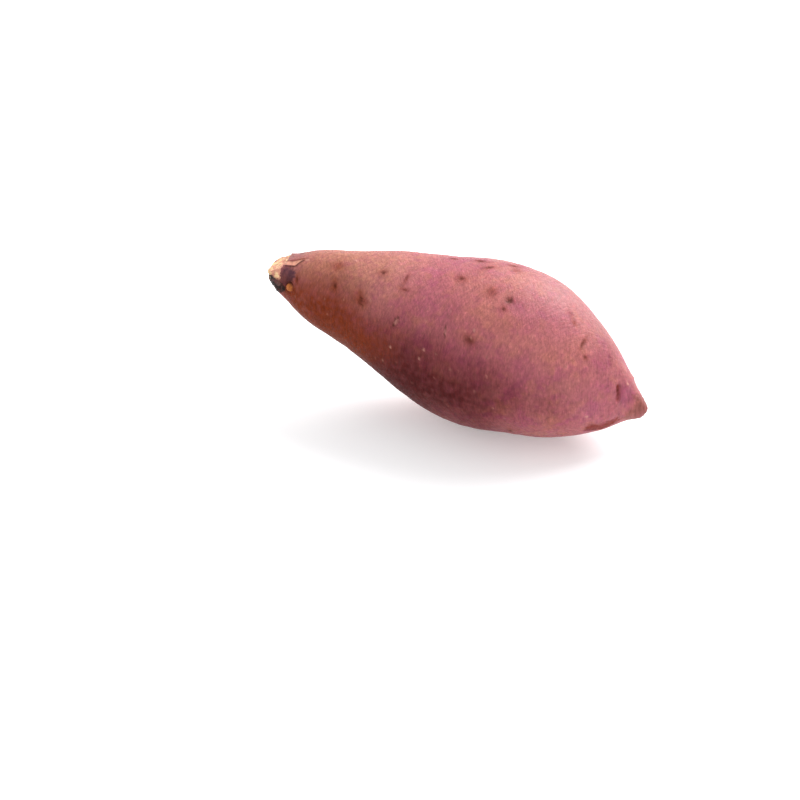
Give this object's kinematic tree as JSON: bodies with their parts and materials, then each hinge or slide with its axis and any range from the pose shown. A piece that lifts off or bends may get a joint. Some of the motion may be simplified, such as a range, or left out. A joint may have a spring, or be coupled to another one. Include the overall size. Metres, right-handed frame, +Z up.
{
  "type": "sweet potato",
  "caption": "Whole raw sweet potato, a spindle-shaped purple-red tuber with a stem scar, shallow eyes and a short tail, lying on its belly.",
  "frame": {"origin": "under the middle of the bounding box, on the surface that the tuber rests on", "axes": "+X along the tuber from the stem end to the tail, -Y to the side that the picture shows, +Z up"},
  "size_m": [0.1604, 0.067, 0.0703],
  "materials": {
    "skin": "satin, thin purple-red tuber skin"
  },
  "bodies": {
    "root": {"sweet_potato": "skin"}
  },
  "joints": []
}
